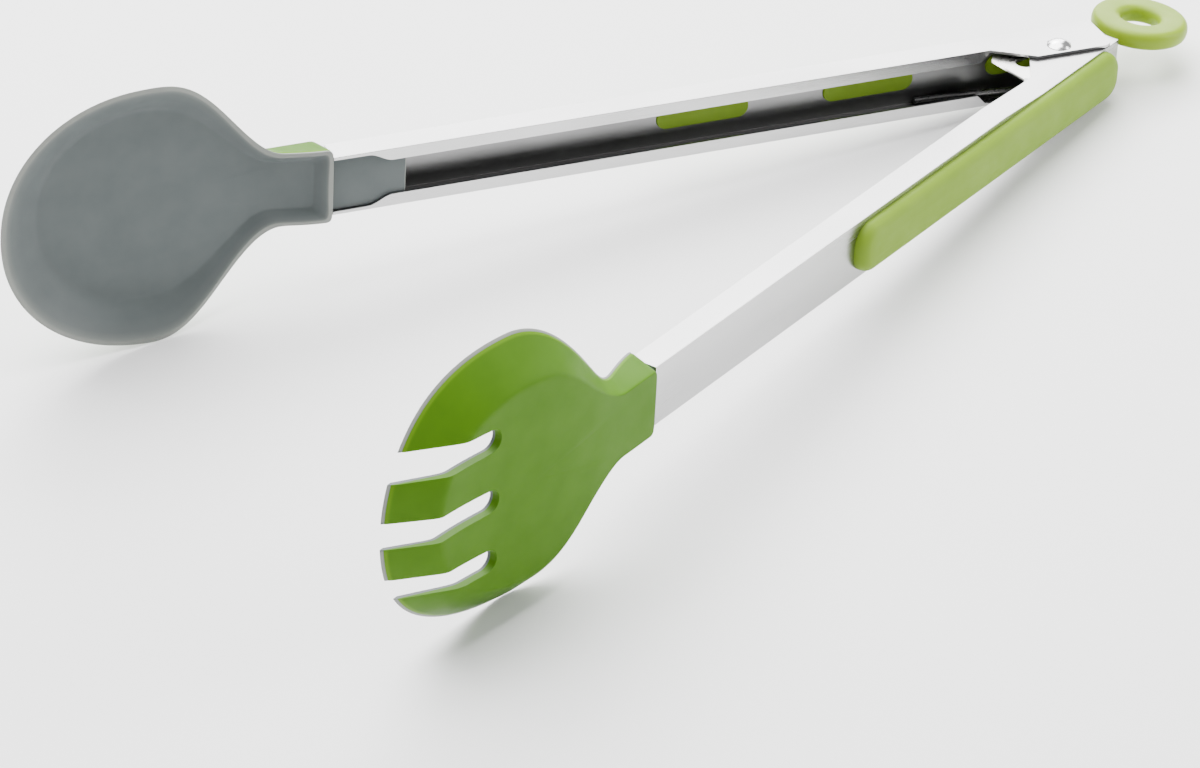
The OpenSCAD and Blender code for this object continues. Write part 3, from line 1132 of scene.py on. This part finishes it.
    def build(self, finishes: Finishes) -> None:
        """The core and the skin.

        Args:
            finishes: The built materials.
        """
        body = f"{self.side.name.lower()}_arm"
        stem = f"{self.side.name.lower()}_head"
        depths = (0, self.core_t, self.core_t + self.skin_t)
        front, joint_face, back = (self.surface(depth) for depth in depths)
        rim = self.rim()
        core = front + rim + joint_face[::-1]
        # Painted highlight on the core's rim, rising towards the rim
        painted_highlight = [0.0] * (len(front) - 3) + [0.1, 0.45, 0.8]
        painted_highlight += [1.0] * (len(rim) + 1) + [0.0] * (len(joint_face) - 1)
        obj = self.shell(f"{stem}_core_moulding", core, painted_highlight, True)
        dress(obj, finishes.grey)
        settle(obj, body, "head_core", f"{stem}_core")
        skin = joint_face + back[::-1]
        # Faint painted highlight on the skin's edge at the joint
        painted_highlight = [0.0] * (len(joint_face) - 1) + [0.2, 0.2] + [0.0] * (len(back) - 1)
        obj = self.shell(f"{stem}_skin_moulding", skin, painted_highlight, False)
        dress(obj, finishes.green)
        settle(obj, body, "head_skin", f"{stem}_skin")


# ---------------------------------------------------------------- hinge and lock


@dataclass
class Rivet:
    """The rivet: a plain shank and two domed heads."""

    shank: float = 2.5
    head: float = 3.5
    rise: float = 1.5
    span: float = 8.75
    edge: float = 0.12
    dome_steps: int = 8
    dome_share: float = 0.985
    steps: int = 72

    def profile(self) -> list[Vector]:
        """Half of the outline in X and Z, from one dome's top to the other's.

        Returns:
            The outline's points.
        """
        dome = (self.head**2 + self.rise**2) / (2 * self.rise)
        top = []
        for i in range(self.dome_steps + 1):
            r = self.head * i / self.dome_steps * self.dome_share
            top.append(Vector((r, 0, self.span + self.rise - dome + math.sqrt(dome**2 - r**2))))
        top.append(Vector((self.head, 0, self.span + self.edge)))
        top.append(Vector((self.head - self.edge, 0, self.span)))
        upper = top + [Vector((self.shank, 0, self.span))]
        return upper + [Vector((p.x, 0, -p.z)) for p in reversed(upper)]

    def build(self, finishes: Finishes) -> bpy.types.Object:
        """Turns the outline round the rivet's axis.

        Args:
            finishes: The built materials.

        Returns:
            The piece.
        """
        bm = bmesh.new()
        verts = [bm.verts.new(p) for p in self.profile()]
        edges = [bm.edges.new(pair) for pair in zip(verts, verts[1:])]
        bmesh.ops.spin(
            bm,
            geom=verts + edges,
            cent=(0, 0, 0),
            axis=(0, 0, 1),
            angle=2 * math.pi,
            steps=self.steps,
            use_merge=True,
        )
        bmesh.ops.remove_doubles(bm, verts=bm.verts, dist=WELD)
        obj = make_object("hinge_rivet_turned", bm, hinge_frame(), 35)
        dress(obj, finishes.rivet)
        settle(obj, "pivot", "rivet_steel", "hinge_rivet")
        return obj


@dataclass
class Spring:
    """The torsion spring: a leg in each arm and a coil between them."""

    wire: float = 1.8
    coil_r: float = 3.7
    low: float = -5.9
    turns: int = 3
    gap: float = 0.12
    leg_v: float = 8.75
    spoon_leg: float = 39.6
    fork_leg: float = 33.0
    spoon_leg_w: float = -6.85
    leg_steps: int = 12
    coil_step: float = 15.0
    turn_from: float = -4.9
    turn_to: float = -0.4

    def path(self) -> list[Vector]:
        """The wire's centre line in hinge millimetres.

        Returns:
            The line's points, from the spoon's leg through the coil to the fork's.
        """
        sweep = 180 - 2 * math.degrees(HALF_OPEN) + 360 * self.turns
        high = self.low + (self.wire + self.gap) * sweep / 360
        to_hinge = (hinge_frame() @ Matrix.Scale(MM, 4).inverted()).inverted()
        from_spoon, from_fork = to_hinge @ arm_frame(Side.SPOON), to_hinge @ arm_frame(Side.FORK)
        points = []
        for i in range(self.leg_steps):
            t = i / self.leg_steps
            out = mix(self.leg_v, self.coil_r, smooth(t))
            rise = mix(self.spoon_leg_w, self.low, smooth(t))
            points.append((from_spoon @ Vector((self.spoon_leg * (1 - t), out, rise))) / MM)
        count = math.ceil(sweep / self.coil_step)
        for i in range(count + 1):
            t = i / count
            turn = math.pi / 2 - HALF_OPEN - math.radians(sweep) * t
            x, y = self.coil_r * math.cos(turn), self.coil_r * math.sin(turn)
            points.append(Vector((x, y, mix(self.low, high, t))))
        for i in range(1, self.leg_steps + 1):
            t = i / self.leg_steps
            spot = Vector((self.fork_leg * t, mix(self.coil_r, self.leg_v, smooth(t)), high))
            points.append((from_fork @ spot) / MM)
        return points

    def build(self, finishes: Finishes) -> bpy.types.Object:
        """Sweeps the wire along its path, from the spoon's leg through the coil to the fork's.

        Args:
            finishes: The built materials.

        Returns:
            The piece.
        """
        curve = bpy.data.curves.new("spring_line", "CURVE")
        curve.dimensions = "3D"
        curve.bevel_depth = self.wire / 2
        curve.bevel_resolution = 4
        curve.use_fill_caps = True
        line = curve.splines.new("POLY")
        points = self.path()
        line.points.add(len(points) - 1)
        for spot, point in zip(line.points, points):
            spot.co = (*point, 1.0)
        holder = bpy.data.objects.new("spring_line", curve)
        bpy.context.scene.collection.objects.link(holder)
        graph = bpy.context.evaluated_depsgraph_get()
        mesh = bpy.data.meshes.new_from_object(holder.evaluated_get(graph))
        bm = bmesh.new()
        bm.from_mesh(mesh)
        bmesh.ops.remove_doubles(bm, verts=bm.verts, dist=WELD)
        bpy.data.objects.remove(holder)
        bpy.data.meshes.remove(mesh)
        bpy.data.curves.remove(curve)
        obj = make_object("torsion_spring_wire", bm, hinge_frame(), 50)
        dress(obj, finishes.spring)
        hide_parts("torsion_spring")
        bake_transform(obj)
        log.info("%s: %d faces, across both arms", obj.name, len(obj.data.polygons))
        return obj


@dataclass
class Lock:
    """The sliding plate and the hanging ring on its neck."""

    ring_od: float = 27.5
    hole: float = 10.8
    thick: float = 5.4
    land: float = 1.6
    ring_x: float = 31.5
    raise_ring: float = 0.7
    bend_x: float = 20.5
    droop: float = 5.0
    plate_mid: float = 6.4
    burr: float = 0.12
    section_steps: int = 40
    flat_power: float = 1.9
    turn_steps: int = 112

    def plate(self, finishes: Finishes) -> bpy.types.Object:
        """The stamped plate with its edges broken.

        Args:
            finishes: The built materials.

        Returns:
            The piece.
        """
        local = hinge_frame()
        bm = cad_copy("lock_plate", local)
        round_edges(bm, sharp_edges(bm, 40), self.burr, 2)
        obj = make_object("lock_plate_stamped", bm, local, 35)
        dress(obj, finishes.plate)
        shade_flat_faces(obj)
        settle(obj, "lock", "lock_steel", "lock_plate")
        return obj

    def section(self) -> list[Vector]:
        """The ring's round section in X and Z, flattened softly on top and below.

        Returns:
            The section's points.
        """
        tube = (self.ring_od - self.hole) / 4
        centre = (self.ring_od + self.hole) / 4
        flat = self.thick / 2
        made = []
        for i in range(self.section_steps):
            turn = 2 * math.pi * i / self.section_steps
            x, z = tube * math.cos(turn), tube * math.sin(turn)
            z = math.copysign(flat * (1 - (1 - min(1.0, abs(z) / tube)) ** self.flat_power), z)
            made.append(Vector((centre + x, 0, z)))
        return made

    def ring(self, finishes: Finishes) -> bpy.types.Object:
        """The moulded ring, turned from its section.

        Args:
            finishes: The built materials.

        Returns:
            The piece.
        """
        bm = bmesh.new()
        verts = [bm.verts.new(p) for p in self.section()]
        edges = [bm.edges.new((a, b)) for a, b in zip(verts, verts[1:] + verts[:1])]
        bmesh.ops.spin(
            bm,
            geom=verts + edges,
            cent=(0, 0, 0),
            axis=(0, 0, 1),
            angle=2 * math.pi,
            steps=self.turn_steps,
            use_merge=True,
        )
        bmesh.ops.remove_doubles(bm, verts=bm.verts, dist=WELD)
        place = (
            Matrix.Translation((self.bend_x, 0, self.plate_mid))
            @ Matrix.Rotation(math.radians(self.droop), 4, "Y")
            @ Matrix.Translation((self.ring_x - self.bend_x, 0, self.raise_ring))
        )
        bmesh.ops.transform(bm, matrix=place, verts=bm.verts)
        obj = make_object("pull_ring_moulding", bm, hinge_frame(), 60)
        dress(obj, finishes.ring)
        settle(obj, "lock", "ring_plastic", "pull_ring")
        return obj


# ---------------------------------------------------------------- setting


@dataclass(frozen=True)
class Lamp:
    """A square soft light that looks at the middle of the tongs; places in metres, power in watts."""

    name: str
    spot: tuple[float, float, float]
    size: float
    power: float
    middle: tuple[float, float, float] = (0.0, 0.0, 0.03)

    def build(self) -> None:
        """Hangs the light."""
        data = bpy.data.lights.new(self.name, "AREA")
        data.shape, data.size, data.energy = "SQUARE", self.size, self.power
        lamp = bpy.data.objects.new(self.name, data)
        spot = Vector(self.spot)
        aim = (Vector(self.middle) - spot).to_track_quat("-Z", "Y").to_matrix().to_4x4()
        lamp.matrix_world = Matrix.Translation(spot) @ aim
        bpy.context.scene.collection.objects.link(lamp)


@dataclass
class Studio:
    """A pale table, soft light from above and a long lens."""

    aim: tuple[float, float, float] = (-210.96, -56.72, 0.0)
    distance: float = 1321.1
    azimuth: float = 49.312
    elevation: float = 31.398
    roll: float = 3.064
    lens: float = 157.96
    film: float = 36.0
    far: float = 20.0
    sky_strength: float = 0.35
    table_half: float = 3.0
    table_gap: float = 0.0001
    finish: Moulded = TABLE_LACQUER
    lamps: tuple[Lamp, ...] = (
        Lamp("overhead", (0.0, 0.45, 1.2), 1.6, 72.0),
        Lamp("behind", (0.85, 1.0, 0.8), 1.3, 44.0),
        Lamp("right", (1.1, -0.75, 0.55), 0.8, 18.0),
    )

    def camera(self) -> None:
        """The camera, placed in the hinge's own frame."""
        turn, rise = math.radians(self.azimuth), math.radians(self.elevation)
        ahead = Vector((math.cos(turn) * math.cos(rise), math.sin(turn) * math.cos(rise), -math.sin(rise)))
        right = ahead.cross(Vector((0, 0, 1))).normalized()
        right = Matrix.Rotation(-math.radians(self.roll), 3, ahead) @ right
        up = right.cross(ahead)
        spot = Vector(self.aim) - ahead * self.distance
        axes = Matrix((right, up, -ahead)).transposed().to_4x4()
        hinge = hinge_frame()
        turned = (hinge @ Matrix.Scale(1 / MM, 4)).to_3x3().normalized().to_4x4() @ axes
        data = bpy.data.cameras.new("camera")
        data.lens, data.sensor_width, data.sensor_fit = self.lens, self.film, "HORIZONTAL"
        data.clip_end = self.far
        camera = bpy.data.objects.new("camera", data)
        camera.matrix_world = Matrix.Translation(hinge @ spot) @ turned
        bpy.context.scene.collection.objects.link(camera)
        bpy.context.scene.camera = camera

    def floor(self) -> None:
        """The table top, just under the lowest point."""
        bm = bmesh.new()
        bmesh.ops.create_grid(bm, x_segments=1, y_segments=1, size=self.table_half)
        bmesh.ops.translate(bm, vec=(0, 0, CAD_BOX[0].z - self.table_gap), verts=bm.verts)
        obj = make_object("table", bm, Matrix.Identity(4))
        dress(obj, self.finish.build())

    def sky(self) -> None:
        """An even pale surround."""
        world = bpy.data.worlds.new("studio")
        world.use_nodes = True
        tree = world.node_tree
        tree.nodes.clear()
        light = {"Color": linear("#FFFFFF"), "Strength": self.sky_strength}
        glow = add(tree, "ShaderNodeBackground", light)
        add(tree, "ShaderNodeOutputWorld", {"Surface": glow.outputs[0]})
        bpy.context.scene.world = world

    def build(self) -> None:
        """Sets the whole stage."""
        self.camera()
        self.floor()
        self.sky()
        for lamp in self.lamps:
            lamp.build()


def main() -> None:
    """Builds the stage and every piece in order."""
    logging.basicConfig(level=logging.INFO, format="%(name)s %(message)s")
    Studio().build()
    finishes = Finishes()
    for side in Side:
        Channel(side).build(finishes)
        Grip(side).build(finishes)
    Head(Side.SPOON, reach=41.0, fold=0.0).build(finishes)
    Head(Side.FORK, reach=43.0, fold=7.0).build(finishes)
    Rivet().build(finishes)
    Spring().build(finishes)
    lock = Lock()
    lock.plate(finishes)
    lock.ring(finishes)


if __name__ == "__main__":
    main()
